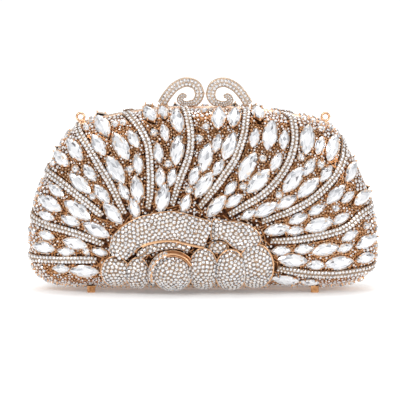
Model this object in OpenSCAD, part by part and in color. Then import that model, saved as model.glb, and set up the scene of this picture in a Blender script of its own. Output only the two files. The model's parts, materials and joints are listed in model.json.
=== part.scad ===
// Hard-case evening clutch: two pillow-shaped metal halves hinged along the bottom edge, closed by a pair
// of scrolls on top. Crystals and raised bands fan out from a rose at the foot of the front.
// Millimetres, +Z up, front towards -Y. The origin is on the ground under the middle of the whole object.

/* [Case] */
// Depth of one half, from the parting plane to the flat of its face
case_depth = 26; // [24:1:30]
// Roundness of the edge: higher is boxier
case_power = 2.8; // [2.4:0.1:3.4]
// Wall of the cast shell
shell_wall = 1.1; // [0.9:0.1:1.4]
// Wall of the moulded lining tray
lining_wall = 0.9; // [0.7:0.1:1.2]
// Distance of the parting plane behind the origin
parting_y = 1.8; // [1:0.1:3]

/* [Frame] */
// Depth of each rim frame, front to back
frame_depth = 4; // [3.6:0.2:5]
// How far the frame stands out past the shell
frame_lip = 0.8; // [0.6:0.1:1]
// How far the frame reaches in past the outline
frame_reach = 3.4; // [3:0.2:4]
// Gap between the two frames when the case is shut
parting_gap = 0.4; // [0.3:0.1:0.6]

/* [Bands] */
// Width of a raised band
rib_width = 4.2; // [3.6:0.2:4.6]
// Height of a raised band
rib_height = 1.8; // [1.4:0.1:2]

/* [Crystals] */
// Length of a large marquise crystal with room round it
large_length = 17; // [15:0.2:18]
// Width of a large marquise crystal with room round it
large_width = 7.8; // [6.6:0.2:8.4]
// Length of a medium marquise crystal with room round it
medium_length = 14; // [12:0.2:14.6]
// Width of a medium marquise crystal with room round it
medium_width = 6.8; // [5.6:0.2:7.2]
// Length of a small marquise crystal with room round it
small_length = 11.2; // [9:0.2:12]
// Width of a small marquise crystal with room round it
small_width = 5.6; // [4.4:0.2:6]
// Diameter of a round crystal
round_size = 3.8; // [3:0.2:4.2]
// Height of every crystal above its seat
stone_height = 2.4; // [2:0.2:2.8]

/* [Clasp] */
// Thickness of a scroll, front to back
scroll_depth = 3; // [2.6:0.2:3.2]
// Width of the scroll's band where it is widest
scroll_width = 5.4; // [5:0.1:5.6]
// Place of the gap between the two scrolls, right of the middle
scroll_meet = 1.2; // [0:0.2:2]
// How far each scroll stands towards its own half
scroll_offset = 0.6; // [0.5:0.1:0.8]

/* [Hinge and feet] */
// Outer radius of the hinge barrel
barrel_r = 1.5; // [1.4:0.1:1.7]
// Radius of the hinge pin
pin_r = 0.7; // [0.6:0.05:0.8]
// Length of one knuckle
knuckle_length = 10; // [8:1:12]
// Width of a square foot
foot_width = 4.6; // [4:0.1:5]
// Distance of each foot from the middle
foot_x = 63.5; // [58:0.5:66]

/* [Strap lugs] */
// Hole radius of a strap lug
lug_bore_r = 1.4; // [1.2:0.1:1.5]
// Outer radius of a strap lug
lug_r = 2.9; // [2.7:0.1:3.1]

/* [Hidden] */
metal = "#c98d5e";
pave = "#e6d9cb";
crystal = "#f4f6f8";
leather = "#8a5a3a";

// Right half of the outline at the parting plane, from the top middle clockwise to the bottom middle
outline_knots = [[0, 103.8], [25, 103.3], [46, 100.4], [61, 97.2], [71.5, 93.2], [79, 85], [86, 73],
    [92, 59.5], [96, 46], [97.9, 32], [97.4, 18], [93, 9.5], [81.5, 5], [62, 3.8], [32, 3.6], [0, 3.6]];
// The rings of the bowl shrink towards this point
face_middle = [0, 40];
outline_bottom = 3.6;
outline_top = 103.8;

// Smooth curve through the points a to d, at t between b and c
function curve(a, b, c, d, t) =
    0.5 * (2 * b + (c - a) * t + (2 * a - 5 * b + 4 * c - d) * t * t + (3 * b - a - 3 * c + d) * t * t * t);
function knot(k, i) =
    i < 0 ? 2 * k[0] - k[1] : i >= len(k) ? 2 * k[len(k) - 1] - k[len(k) - 2] : k[i];
// Point of the curve through the open knots k, at share s of the way
function along(k, s) =
    let (u = max(0, min(s, 0.99999)) * (len(k) - 1), i = floor(u))
    curve(knot(k, i - 1), knot(k, i), knot(k, i + 1), knot(k, i + 2), u - i);
function unit(v) = v / norm(v);
// Direction of the curve at share s, and the direction to its left
function heading(k, s) = unit(along(k, s + 0.01) - along(k, s - 0.01));
function left_of(v) = [-v[1], v[0]];
function closed_curve(k, steps) =
    let (n = len(k))
    [for (i = [0:n - 1], j = [0:steps - 1])
        curve(k[(i + n - 1) % n], k[i], k[(i + 1) % n], k[(i + 2) % n], j / steps)];
// A closed clockwise loop moved outwards by d
function moved_out(loop, d) =
    let (n = len(loop))
    [for (i = [0:n - 1])
        loop[i] + d * left_of(unit(loop[(i + 1) % n] - loop[(i + n - 1) % n]))];
both_sides = concat(outline_knots,
    [for (i = [len(outline_knots) - 2:-1:1]) [-outline_knots[i][0], outline_knots[i][1]]]);
outline = closed_curve(both_sides, 2);

// Distance of the outline from the middle of the face, by angle above the horizontal
polar = let (loop = closed_curve(both_sides, 6), half = 6 * (len(outline_knots) - 1))
    [for (i = [half:-1:0]) let (d = loop[i] - face_middle) [atan2(d[1], max(d[0], 0)), norm(d)]];
function outline_radius(d) = lookup(atan2(d[1], abs(d[0])), polar);

// The face is drawn flat. Past this share of the radius the drawing wraps down the side wall.
wrap_from = 0.97;
face_rise = case_depth - frame_depth;
function rise(f) = pow(max(0, 1 - pow(f, case_power)), 1 / case_power);
// Point on the outside of the shell for the point p of the drawing
function on_shell(p) =
    let (d = p - face_middle, r = outline_radius(d), f = norm(d) / r,
        way = norm(d) > 0 ? unit(d) : [0, 1],
        g = f <= wrap_from ? rise(f) : max(0.005, rise(wrap_from) - (f - wrap_from) * r / face_rise),
        q = face_middle + way * r * (f <= wrap_from ? f : rise(g)))
    [q[0], -frame_depth - face_rise * g, q[1]];
nudge = 0.4;
function shell_normal(p) =
    unit(cross(on_shell(p + [nudge, 0]) - on_shell(p - [nudge, 0]),
        on_shell(p + [0, nudge]) - on_shell(p - [0, nudge])));
function over_shell(p, height) = on_shell(p) + height * shell_normal(p);
// Thickness of the solder under everything that is set on the shell
solder = 0.15;

// Places its children on the shell at p of the drawing, with their X axis along the drawn angle
module seated(p, angle) {
    way = nudge * [cos(angle), sin(angle)];
    out = shell_normal(p);
    side = unit(cross(out, on_shell(p + way) - on_shell(p - way)));
    front = cross(side, out);
    o = over_shell(p, solder);
    multmatrix([[front[0], side[0], out[0], o[0]],
        [front[1], side[1], out[1], o[1]],
        [front[2], side[2], out[2], o[2]],
        [0, 0, 0, 1]]) children();
}

// All is drawn as a front half with its parting plane at y = 0. The back half is its mirror image.
module front_half() { translate([0, parting_y, 0]) children(); }
module back_half() { translate([0, parting_y, 0]) mirror([0, 1, 0]) children(); }

// Closed mesh of rings of points in order, with both ends closed round a middle point
module ring_mesh(rings, first, last) {
    rows = len(rings);
    n = len(rings[0]);
    sides = [for (i = [0:rows - 2], j = [0:n - 1]) let (k = (j + 1) % n)
        each [[i * n + j, (i + 1) * n + j, i * n + k], [i * n + k, (i + 1) * n + j, (i + 1) * n + k]]];
    ends = [for (j = [0:n - 1]) let (k = (j + 1) % n)
        each [[rows * n, j, k], [rows * n + 1, (rows - 1) * n + k, (rows - 1) * n + j]]];
    polyhedron(concat([for (r = rings) each r], [first, last]), concat(sides, ends), convexity = 6);
}
function mean(points, i = 0) =
    i == len(points) ? points[0] * 0 : points[i] / len(points) + mean(points, i + 1);

// Bowl with its rim at depth frame_depth: one skin from the outside middle over the rim to the inside
module bowl(outset, wall, depth, steps) {
    rings = [for (side = [1, 0], k = [0:steps])
        let (i = side == 1 ? steps - k : k, a = 90 * i / (steps + 1),
            f = pow(cos(a), 2 / case_power), g = pow(sin(a), 2 / case_power),
            loop = moved_out(outline, side == 0 ? outset - wall : outset),
            reach = depth - (side == 0 ? wall : 0) - frame_depth)
        [for (p = loop) let (q = face_middle + (p - face_middle) * f)
            [q[0], -frame_depth - reach * g, q[1]]]];
    outside = [face_middle[0], -depth, face_middle[1]];
    ring_mesh(rings, outside, outside + [0, wall, 0]);
}

module rim_ring() {
    translate([0, -parting_gap / 2, 0]) rotate([90, 0, 0]) linear_extrude(frame_depth - parting_gap / 2)
        difference() {
            polygon(moved_out(outline, frame_lip));
            polygon(moved_out(outline, -frame_reach));
        }
}

// Bands: the way that each runs over the face, from the rim to the rose
rib_ways = [
    [[-73, 96.2], [-64.4, 83.8], [-58, 73.5], [-52, 63.8], [-44, 47]],
    [[-93, 71.8], [-79.8, 63.8], [-70.7, 57], [-60.4, 49], [-56.5, 45.8]],
    [[-101.2, 44.6], [-89.5, 39.9], [-77.5, 37], [-66, 33.6], [-56, 29.5]],
    [[-102.6, 19.8], [-83.8, 20], [-67.8, 20.5], [-60, 20.5]],
    [[-46.8, 105.2], [-40.5, 99.5], [-34.8, 93.5], [-30.8, 84.9], [-29.6, 71.3], [-29.6, 59.3], [-31, 50]],
    [[-12.2, 109.6], [-8.6, 100], [-6.8, 90], [-8, 79.2], [-12.5, 67.3], [-17.5, 52]],
    [[25.6, 109], [24.4, 100], [22.6, 90], [18.2, 78], [12.5, 69.5], [6.8, 61.6], [-2, 51]],
    [[48.6, 105], [50.8, 96], [51.3, 86.5], [47.9, 75.8], [41.6, 66], [33.6, 58], [23.9, 51.9],
        [14.5, 46.5]],
    [[82.4, 88.4], [79.8, 82.6], [78.8, 77], [75.2, 69], [68.4, 61], [59.3, 53.6], [47.9, 47.9],
        [33, 42.6]],
    [[99.8, 50.2], [90, 46], [82, 39.3], [73.5, 35.9], [62, 33.6], [49.6, 31.9], [38, 31.6]],
    [[101.6, 14.8], [93, 13.6], [84, 12.6], [74, 12], [62, 12.5], [50.2, 14.3], [42, 16]]];

// Places of the marquise crystals on the face
large_spots = [[-72, 82], [-69, 63.5], [-50.6, 47.2], [-86, 51.5], [-70.5, 48.5], [-60, 37.5], [-89.8, 26.6],
    [-72, 29.6], [-67, 14], [-56.5, 95], [-46, 84.5], [-49, 71.5], [-37, 60.9], [-30, 101.5], [-14.4, 98.2],
    [-14.5, 82.5], [-22.7, 55.8], [8.7, 99.8], [14.6, 84.8], [1.5, 78.5], [0.5, 63.4], [31.6, 102.8], [37.5, 90.5],
    [25, 73.5], [31, 65.5], [7.5, 51.5], [58.5, 88], [72.5, 83], [50.5, 66], [58.9, 61.4], [35.2, 49.4],
    [83.2, 69.2], [74.4, 57.2], [89.6, 54.4], [65, 40.2], [41.6, 38], [68.8, 26.3], [92.1, 29.6], [50.5, 20.5],
    [76.9, 18.4], [46.5, 9]];
medium_spots = [[-79.5, 76.5], [-56.8, 58], [-58.5, 85], [-38.5, 50.2], [-22.6, 102.9], [17.5, 100],
    [47, 53.5], [91.6, 20.3]];
small_spots = [[-63.5, 69.5], [-82.5, 59], [-88, 44.5], [-74.5, 42.5], [-88, 33.5], [-77.2, 24.9],
    [-58.2, 25.2], [-80, 15], [-39, 88.5], [-36.5, 75], [-44.5, 59.5], [-21.5, 92], [-25, 81], [-24, 67.5],
    [-17.5, 67.5], [7.8, 86.4], [-5, 68.5], [8.6, 73], [-9.8, 53], [28.8, 89.2], [45.5, 88], [41, 76],
    [15.5, 61.5], [17.5, 54.5], [65.5, 84.5], [59.5, 73], [69, 69], [81.4, 55.4], [63.9, 49],
    [53.5, 44], [77.5, 43.5], [52, 37.3], [44, 26], [56.8, 26.7], [82.5, 33.5], [79.9, 26.9],
    [63.5, 17.5], [60.5, 7.5], [25.4, 46.8]];
round_spots = [[-84.5, 74], [-71.5, 71.5], [-62, 56.6], [-95, 35], [-65.8, 25.3], [-65.5, 93.5], [-49.5, 96],
    [-44.8, 96.8], [-41, 72], [-27.5, 92], [-19.5, 75], [1, 104], [1.5, 95], [-2, 89], [-8, 60.5],
    [33.5, 78], [22.5, 62.5], [66.5, 93], [55, 78.5], [66, 74], [42.5, 57.5], [74.5, 49.5], [92, 38.5]];

// Samples of the bands: a point and the direction there
rib_samples = [for (way = rib_ways, s = [0.02:0.06:1]) [along(way, s), heading(way, s)]];
// Crystals lie the way that the bands near them run
function lie(p) =
    let (pull = [for (s = rib_samples) s[1] / pow(norm(p - s[0]) + 1, 3)], d = mean(pull))
    atan2(d[1], d[0]);
// A marquise takes the largest of these shares of its size that leaves room round it
size_shares = [0.82, 0.85, 0.88, 0.91, 0.94, 0.97, 1];
stone_room = 0.15;
// Round crystals also stand in a row down the side wall, where a band or a larger crystal leaves room
rim_pitch = 5.4;
rim_down = 5;
rim_room = 0.6;
rim_loop = let (loop = closed_curve(both_sides, 6))
    [for (p = loop) let (d = p - face_middle)
        face_middle + unit(d) * (wrap_from * outline_radius(d) + rim_down)];
rim_lengths = [for (i = 0, run = 0; i < len(rim_loop);
    run = run + norm(rim_loop[(i + 1) % len(rim_loop)] - rim_loop[i]), i = i + 1) run];
function clear_of(p, spots, room) = min([for (s = spots) norm(p - s)]) > room;
rim_spots = [for (run = [0:rim_pitch:rim_lengths[len(rim_lengths) - 1]])
    let (p = [for (axis = [0, 1])
        lookup(run, [for (i = [0:len(rim_loop) - 1]) [rim_lengths[i], rim_loop[i][axis]]])])
    if (clear_of(p, [for (s = rib_samples) s[0]], (rib_width + round_size) / 2 + 1.5 * rim_room)
        && clear_of(p, large_spots, (size_shares[0] * large_length + round_size + stone_room) / 2)
        && clear_of(p, medium_spots, (size_shares[0] * medium_length + round_size + stone_room) / 2)
        && clear_of(p, small_spots, (size_shares[0] * small_length + round_size + stone_room) / 2)
        && clear_of(p, round_spots, round_size + rim_room)) p];

// One cut crystal: two sloping drums meet in a pointed oval. The slope takes this share of the width.
crown_share = 1 / 6;
round_height = stone_height - 0.4;
module marquise(length, width) {
    drum_r = (length * length + width * width) / (4 * width);
    intersection_for (side = [-1, 1])
        translate([0, side * (drum_r - width / 2), 0])
            cylinder(stone_height, drum_r, drum_r - crown_share * width, $fn = 96);
}
// Marquises are reckoned as their place, angle, length and width
function stones(spots, length, width) = [for (p = spots) [p, lie(p), length, width]];
function scaled(stone, share) = [stone[0], stone[1], share * stone[2], share * stone[3]];
function drum_radius(stone) = (stone[2] * stone[2] + stone[3] * stone[3]) / (4 * stone[3]);
// Distance of the point p from a marquise, negative inside it
function gap_to(stone, p) =
    let (d = p - stone[0], c = cos(stone[1]), s = sin(stone[1]), u = d[0] * c + d[1] * s,
        v = d[1] * c - d[0] * s, r = drum_radius(stone), shift = r - stone[3] / 2)
    max(norm([u, v + shift]), norm([u, v - shift])) - r;
function rim_of(stone) =
    let (c = cos(stone[1]), s = sin(stone[1]), r = drum_radius(stone), shift = r - stone[3] / 2)
    [for (side = [-1, 1], share = [-1:0.2:1])
        let (u = share * stone[2] / 2, v = side * (sqrt(r * r - u * u) - shift))
        stone[0] + [u * c - v * s, u * s + v * c]];
// Near the bend to the side wall the crystals lean apart less, so they need more room there
bend_from = 0.88;
bend_room = 0.6;
rose_room = 0.7;
edge_step = 0.02;
// Points that the marquises keep away from, with their distances
function keep_off() = concat(
    [for (p = concat(round_spots, rim_spots)) [p, round_size / 2]],
    [for (way = rib_ways, s = [0:edge_step:1]) [along(way, s), rib_width / 2]],
    [for (form = oval_petals, p = oval(form[0], form[1], form[2], form[4], 60)) [p, rose_room]],
    [for (side = [-1, 1], s = [0:edge_step:1])
        [along(arch_way, s) + left_of(heading(arch_way, s)) * side * lookup(s, arch_widths) / 2, rose_room]],
    [for (p = closed_curve(upper_knots, 6)) [p, rose_room]],
    [for (p = closed_curve(fan_knots, 12)) [p, rose_room]]);
function fits(stone, others, off) =
    let (rim = rim_of(stone),
        reach = max([for (p = rim) norm(p - face_middle) / outline_radius(p - face_middle)]),
        room = stone_room + (reach > bend_from ? bend_room : 0))
    min(concat([stone[2]], [for (p = rim, k = off) norm(p - k[0]) - k[1]])) > stone_room
    && min(concat([stone[2]], [for (p = rim, other = others) gap_to(other, p)])) > room
    && min(concat([stone[2]], [for (other = others, p = rim_of(other)) gap_to(stone, p)])) > room;
function share_of(stone, all, off) =
    let (near = [for (s = all) if (s != stone && norm(s[0] - stone[0]) < large_length) s],
        off_near = [for (k = off) if (norm(k[0] - stone[0]) < stone[2]) k])
    max([for (share = size_shares) if (share == size_shares[0]
        || fits(scaled(stone, share), [for (s = near) scaled(s, share)], off_near)) share]);
module marquises(spots, length, width) {
    all = concat(stones(large_spots, large_length, large_width),
        stones(medium_spots, medium_length, medium_width), stones(small_spots, small_length, small_width));
    off = keep_off();
    for (stone = stones(spots, length, width)) let (share = share_of(stone, all, off))
        seated(stone[0], stone[1]) marquise(share * length, share * width);
}
module rounds() {
    for (p = concat(round_spots, rim_spots)) seated(p, 0)
        cylinder(round_height, round_size / 2, (0.5 - crown_share) * round_size, $fn = 32);
}

// Cross-section of a band, as shares of its half width and its height
rib_section = [[1, 0], [0.85, 0.7], [0.4, 1], [-0.4, 1], [-0.85, 0.7], [-1, 0]];
arch_section = [[1, 0], [0.94, 0.5], [0.62, 0.86], [0, 1], [-0.62, 0.86], [-0.94, 0.5], [-1, 0],
    [-0.34, 0], [0.34, 0]];
// Band along the way k: widths is a list of [share of the way, width]
module band(k, section, widths, height, lift, count) {
    rings = [for (i = [0:count])
        let (s = i / count, c = along(k, s), side = left_of(heading(k, s)) * lookup(s, widths) / 2)
        [for (q = section) over_shell(c + side * q[0], lift + height * q[1])]];
    ring_mesh(rings, mean(rings[0]), mean(rings[count]));
}
rib_widths = [[0, rib_width], [0.8, rib_width], [1, 0.7 * rib_width]];
rings_per_knot = 4;
module ribs() {
    for (way = rib_ways) band(way, rib_section, rib_widths, rib_height, solder, rings_per_knot * len(way));
}

// Domed petal inside the closed outline of the drawing, with its crown over the point middle. It grows
// forwards more than off the shell, so the petals by the bottom edge stay above the ground.
dome_steps = [[1, 0.34], [0.95, 0.6], [0.82, 0.8], [0.6, 0.93], [0.3, 0.99]];
seat_steps = [0.3, 0.6, 0.8, 0.9, 1];
petal_lift = 0.4;
growth_lean = 0.12;
growth_push = 0.2;
flute_depth = 0.12;
function grown(p, height) =
    let (out = shell_normal(p), way = [out[0], out[1] - growth_push, growth_lean * out[2]])
    over_shell(p, petal_lift) + height * unit(way);
module dome(rim, middle, crown, flutes = 0) {
    n = len(rim);
    seat = [for (share = seat_steps) [for (p = rim) over_shell(middle + (p - middle) * share, petal_lift)]];
    top = [for (step = dome_steps) [for (i = [0:n - 1])
        let (d = rim[i] - middle,
            wave = flutes > 0 ? flute_depth * step[0] * cos(flutes * atan2(d[1], d[0])) : 0)
        grown(middle + d * step[0], crown * (step[1] + wave))]];
    ring_mesh(concat(seat, top), over_shell(middle, petal_lift), grown(middle, crown));
}
function oval(middle, half_width, half_height, lean = 0, n = 20) =
    [for (i = [0:n - 1]) let (a = 360 * i / n, x = half_width * cos(a), z = half_height * sin(a))
        middle + [x * cos(lean) - z * sin(lean), x * sin(lean) + z * cos(lean)]];
// Petal from its middle, half width, half height, crown and lean
module petal(form) { dome(oval(form[0], form[1], form[2], form[4]), form[0], form[3]); }

// Scroll: distance from the meeting plane and height, from its foot over the top to the tip of its curl
scroll_way = [[24.2, 106.2], [22.8, 108.8], [20.4, 112.2], [16.4, 116.3], [10.5, 118.7], [4.9, 116.8],
    [3, 111.6], [4.9, 107.6], [8.4, 106.5], [12, 106.5], [14.2, 108.4], [12.7, 110.7], [10.3, 110.5]];
scroll_widths = [[0, 1], [0.5, 1], [0.6, 0.8], [0.68, 0.6], [0.76, 0.6], [0.85, 0.66], [0.93, 0.62], [1, 0.3]];
scroll_section = [[-1, 0.5], [-0.7, 1], [0.7, 1], [1, 0.5], [1, -0.5], [0.7, -1], [-0.7, -1], [-1, -0.5]];
scroll_rings = 36;
screw_r = 0.55;
screw_head_r = 1.1;
screw_head_h = 0.8;
screw_y = 1.25;
screw_distances = [7, 23.4];
screw_top = 107.6;
hole_room = 0.1;
// Top of each screw's head, against the inside face of the frame
inside_top = let (loop = moved_out(outline, -frame_reach)) [for (i = [0:6]) loop[i]];
function screw_foot(d) = lookup(d + scroll_meet + screw_head_r, inside_top) - hole_room;
module hole_along_z(foot, top) {
    translate([0, 0, foot]) cylinder(top - foot, screw_r + hole_room, screw_r + hole_room, $fn = 24);
}

// Half of the clasp, drawn to the right of the meeting plane, for the front half
module scroll() {
    rings = [for (i = [0:scroll_rings])
        let (s = i / scroll_rings, c = along(scroll_way, s),
            side = left_of(heading(scroll_way, s)) * scroll_width / 2 * lookup(s, scroll_widths))
        [for (q = scroll_section)
            let (p = c + side * q[0]) [p[0], -scroll_offset + scroll_depth / 2 * q[1], p[1]]]];
    difference() {
        translate([parting_gap / 2, 0, 0]) ring_mesh(rings, mean(rings[0]), mean(rings[scroll_rings]));
        for (d = screw_distances)
            translate([d, -screw_y, 0]) hole_along_z(outline_top, screw_top + hole_room);
    }
}
module scroll_screws() {
    for (d = screw_distances) translate([d, -screw_y, screw_foot(d)]) {
        cylinder(screw_top - screw_foot(d), screw_r, screw_r, $fn = 24);
        translate([0, 0, -screw_head_h]) cylinder(screw_head_h, screw_head_r, screw_head_r, $fn = 24);
    }
}
module screw_holes() {
    for (d = screw_distances) translate([d, -screw_y, 0])
        hole_along_z(outline_top - 2 * frame_reach, outline_top + frame_reach);
}

// Nose of the kiss lock, soldered to the back of a scroll beside the meeting plane
nose_r = 1.2;
nose_z = 112;
nose_length = 1.4;
module nose() {
    translate([parting_gap / 2 + nose_r, 0, nose_z]) rotate([-90, 0, 0])
        cylinder(nose_length, nose_r, nose_r, $fn = 32);
}

// Hinge along the bottom edge
hinge_z = outline_bottom - frame_lip;
knuckles = 9;
knuckle_gap = 0.4;
hinge_room = 0.3;
notch_r = barrel_r + hinge_room;
hinge_length = knuckles * knuckle_length;
pin_head = 0.9;
pin_head_r = 1.2;
pin_room = 0.15;
module along_x(length, r) {
    rotate([0, 90, 0]) cylinder(length, r, r, center = true, $fn = 48);
}
module hinge_notch() {
    translate([0, 0, hinge_z]) along_x(hinge_length + 2 * (pin_head + hinge_room), notch_r);
}
leaf_width = 1;
leaf_reach = notch_r - 0.1;
leaf_turn = 30;
module knuckle() {
    difference() {
        union() {
            along_x(knuckle_length - knuckle_gap, barrel_r);
            rotate([leaf_turn, 0, 0]) translate([0, 0, leaf_reach / 2])
                cube([knuckle_length - knuckle_gap, leaf_width, leaf_reach], center = true);
        }
        along_x(knuckle_length, pin_r + pin_room);
    }
}
// Knuckles of one half: the first of them is number start
module knuckle_row(start) {
    for (i = [start:2:knuckles - 1])
        translate([(i - (knuckles - 1) / 2) * knuckle_length, 0, hinge_z]) knuckle();
}

// Feet under the flat of each half's bottom wall
foot_y = 12.5;
foot_sink = 0.4;
foot_top = outline_bottom + foot_sink;
module foot_pair() {
    for (side = [-1, 1]) translate([side * foot_x, -foot_y, foot_top / 2])
        cube([foot_width, foot_width, foot_top], center = true);
}

// Lug with a hole for a strap, on the shoulder of the back frame
lug_share = 0.243;
lug_thickness = 2;
lug_neck = 4;
neck_gap = 0.3;
neck_overlap = 0.2;
lug_stand = frame_lip + lug_r + neck_gap;
module lug() {
    foot = along(outline_knots, lug_share);
    way = heading(outline_knots, lug_share);
    centre = foot + left_of(way) * lug_stand;
    lean = -atan2(way[1], way[0]);
    translate([centre[0], -(frame_depth + parting_gap) / 2, centre[1]]) rotate([0, lean, 0])
        difference() {
            union() {
                rotate([90, 0, 0]) cylinder(lug_thickness, lug_r, lug_r, center = true, $fn = 48);
                translate([0, 0, -(lug_r + neck_overlap) / 2])
                    cube([lug_neck, lug_thickness, lug_r + neck_overlap], center = true);
            }
            rotate([90, 0, 0]) cylinder(2 * lug_thickness, lug_bore_r, lug_bore_r, center = true, $fn = 48);
        }
}

module back_frame() {
    color(metal) difference() {
        back_half() rim_ring();
        back_half() hinge_notch();
        back_half() translate([scroll_meet, 0, 0]) mirror([1, 0, 0]) screw_holes();
    }
}
module front_frame() {
    color(metal) difference() {
        front_half() rim_ring();
        front_half() hinge_notch();
        front_half() translate([scroll_meet, 0, 0]) screw_holes();
    }
}
shell_steps = 7;
lining_steps = 4;
lining_room = 0.3;
module lining() {
    bowl(-shell_wall - lining_room, lining_wall, case_depth - shell_wall - lining_room, lining_steps);
}
module back_shell() { color(metal) back_half() bowl(0, shell_wall, case_depth, shell_steps); }
module front_shell() { color(metal) front_half() bowl(0, shell_wall, case_depth, shell_steps); }
module back_lining() { color(leather) back_half() lining(); }
module front_lining() { color(leather) front_half() lining(); }
module back_ribs() { color(pave) back_half() ribs(); }
module front_ribs() { color(pave) front_half() ribs(); }
module large_marquises() { marquises(large_spots, large_length, large_width); }
module medium_marquises() { marquises(medium_spots, medium_length, medium_width); }
module small_marquises() { marquises(small_spots, small_length, small_width); }
module back_marquise_large() { color(crystal) back_half() large_marquises(); }
module front_marquise_large() { color(crystal) front_half() large_marquises(); }
module back_marquise_medium() { color(crystal) back_half() medium_marquises(); }
module front_marquise_medium() { color(crystal) front_half() medium_marquises(); }
module back_marquise_small() { color(crystal) back_half() small_marquises(); }
module front_marquise_small() { color(crystal) front_half() small_marquises(); }
module back_round_crystals() { color(crystal) back_half() rounds(); }
module front_round_crystals() { color(crystal) front_half() rounds(); }
module back_feet() { color(metal) back_half() foot_pair(); }
module front_feet() { color(metal) front_half() foot_pair(); }
module back_hinge_knuckles() { color(metal) back_half() knuckle_row(0); }
module front_hinge_knuckles() { color(metal) front_half() knuckle_row(1); }
module hinge_pin() {
    color(metal) translate([0, parting_y, hinge_z]) {
        along_x(hinge_length + pin_head, pin_r);
        for (side = [-1, 1]) translate([side * (hinge_length + pin_head) / 2, 0, 0])
            along_x(pin_head, pin_head_r);
    }
}
module scroll_left() {
    color(pave) back_half() translate([scroll_meet, 0, 0]) mirror([1, 0, 0]) scroll();
}
module scroll_right() { color(pave) front_half() translate([scroll_meet, 0, 0]) scroll(); }
module scroll_left_screws() {
    color(metal) back_half() translate([scroll_meet, 0, 0]) mirror([1, 0, 0]) scroll_screws();
}
module scroll_right_screws() { color(metal) front_half() translate([scroll_meet, 0, 0]) scroll_screws(); }
module snap_nose_left() {
    color(metal) back_half() translate([scroll_meet, -scroll_depth / 2 - scroll_offset - nose_length, 0])
        mirror([1, 0, 0]) nose();
}
module snap_nose_right() {
    color(metal) front_half() translate([scroll_meet, scroll_depth / 2 - scroll_offset, 0]) nose();
}
module strap_lug_left() { color(metal) back_half() mirror([1, 0, 0]) lug(); }
module strap_lug_right() { color(metal) back_half() lug(); }

// The back has a fluted fan in place of the rose
fan_knots = [[-48, 8], [-34, 5], [-12, 4.6], [10, 4.6], [30, 5.5], [38, 12], [37, 27], [32, 38.5],
    [20, 42], [6, 41], [-4, 45.5], [-20, 47], [-36, 41], [-46, 36], [-53, 24]];
fan_middle = [-7, 18];
fan_height = 4;
fan_flutes = 15;
module back_medallion() {
    color(pave) back_half() dome(closed_curve(fan_knots, 10), fan_middle, fan_height, fan_flutes);
}

// Rose: an arch and a thin inner arch over a round heart in its collar, and domed petals round them.
// Most petals are given by their middle, half width, half height, crown and lean.
arch_way = [[-47, 22.5], [-44.5, 30], [-36.5, 36.5], [-26, 39.6], [-16, 40.3], [-7, 38.1], [3, 35.6]];
arch_widths = [[0, 8], [0.17, 13.5], [0.5, 14], [0.67, 15], [0.84, 15], [1, 13.4]];
arch_height = 5;
arch_rings = 20;
inner_arch_way = [[-36, 23.3], [-30, 27.3], [-22, 29.4], [-14, 29.6], [-7.5, 27.6]];
inner_arch_widths = [[0, 3], [0.5, 3.6], [1, 3]];
inner_arch_height = 3.6;
heart_middle = [-17.1, 13];
heart_r = 9.8;
heart_crown = 10;
collar_r = heart_r + 2.2;
collar_way = [for (a = [205:-25:45]) heart_middle + collar_r * [cos(a), sin(a)]];
collar_widths = [[0, 2.4], [0.5, 3.2], [1, 2.4]];
collar_height = 7;
small_band_rings = 12;
left_outer = [[-49.4, 13.6], 6.9, 7.4, 4.5, 0];
left_inner = [[-37, 12.3], 5.1, 8.4, 5.5, 0];
middle_one = [[0.2, 14.9], 7, 11.9, 7, 0];
right_inner = [[15.3, 13.8], 7.7, 11.6, 7.5, 0];
right_link = [[8.8, 28.5], 4.4, 2.6, 3.5, 0];
upper_knots = [[5.8, 43.3], [9.6, 43.1], [14.7, 42], [21.3, 41.4], [27.1, 39], [31.1, 34.6], [30.4, 30.8],
    [25.5, 27.8], [20.5, 27.6], [16.4, 30], [12.9, 32.8], [8.5, 34.1], [5, 34.6]];
upper_middle = [20, 35.4];
upper_crown = 5;
right_outer = [[30.8, 16.3], 7.4, 12, 5.5, 0];
oval_petals = [left_outer, left_inner, middle_one, right_inner, right_link, right_outer];
module petal_arch() {
    color(pave) front_half() band(arch_way, arch_section, arch_widths, arch_height, petal_lift, arch_rings);
}
module petal_inner_arch() {
    color(pave) front_half()
        band(inner_arch_way, rib_section, inner_arch_widths, inner_arch_height, petal_lift,
            small_band_rings);
}
module petal_left_outer() { color(pave) front_half() petal(left_outer); }
module petal_left_inner() { color(pave) front_half() petal(left_inner); }
module rose_heart() { color(pave) front_half() petal([heart_middle, heart_r, heart_r, heart_crown, 0]); }
module rose_collar() {
    color(pave) front_half()
        band(collar_way, rib_section, collar_widths, collar_height, petal_lift, small_band_rings);
}
module petal_middle() { color(pave) front_half() petal(middle_one); }
module petal_right_inner() { color(pave) front_half() petal(right_inner); }
module petal_right_link() { color(pave) front_half() petal(right_link); }
module petal_right_upper() {
    color(pave) front_half() dome(closed_curve(upper_knots, 3), upper_middle, upper_crown);
}
module petal_right_outer() { color(pave) front_half() petal(right_outer); }

back_frame();
back_shell();
back_lining();
back_ribs();
back_marquise_large();
back_marquise_medium();
back_marquise_small();
back_round_crystals();
back_medallion();
back_feet();
back_hinge_knuckles();
hinge_pin();
scroll_left();
scroll_left_screws();
snap_nose_left();
strap_lug_left();
strap_lug_right();
front_frame();
front_shell();
front_lining();
front_ribs();
front_marquise_large();
front_marquise_medium();
front_marquise_small();
front_round_crystals();
front_feet();
front_hinge_knuckles();
scroll_right();
scroll_right_screws();
snap_nose_right();
petal_arch();
petal_inner_arch();
petal_left_outer();
petal_left_inner();
rose_heart();
rose_collar();
petal_middle();
petal_right_inner();
petal_right_link();
petal_right_upper();
petal_right_outer();
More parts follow.
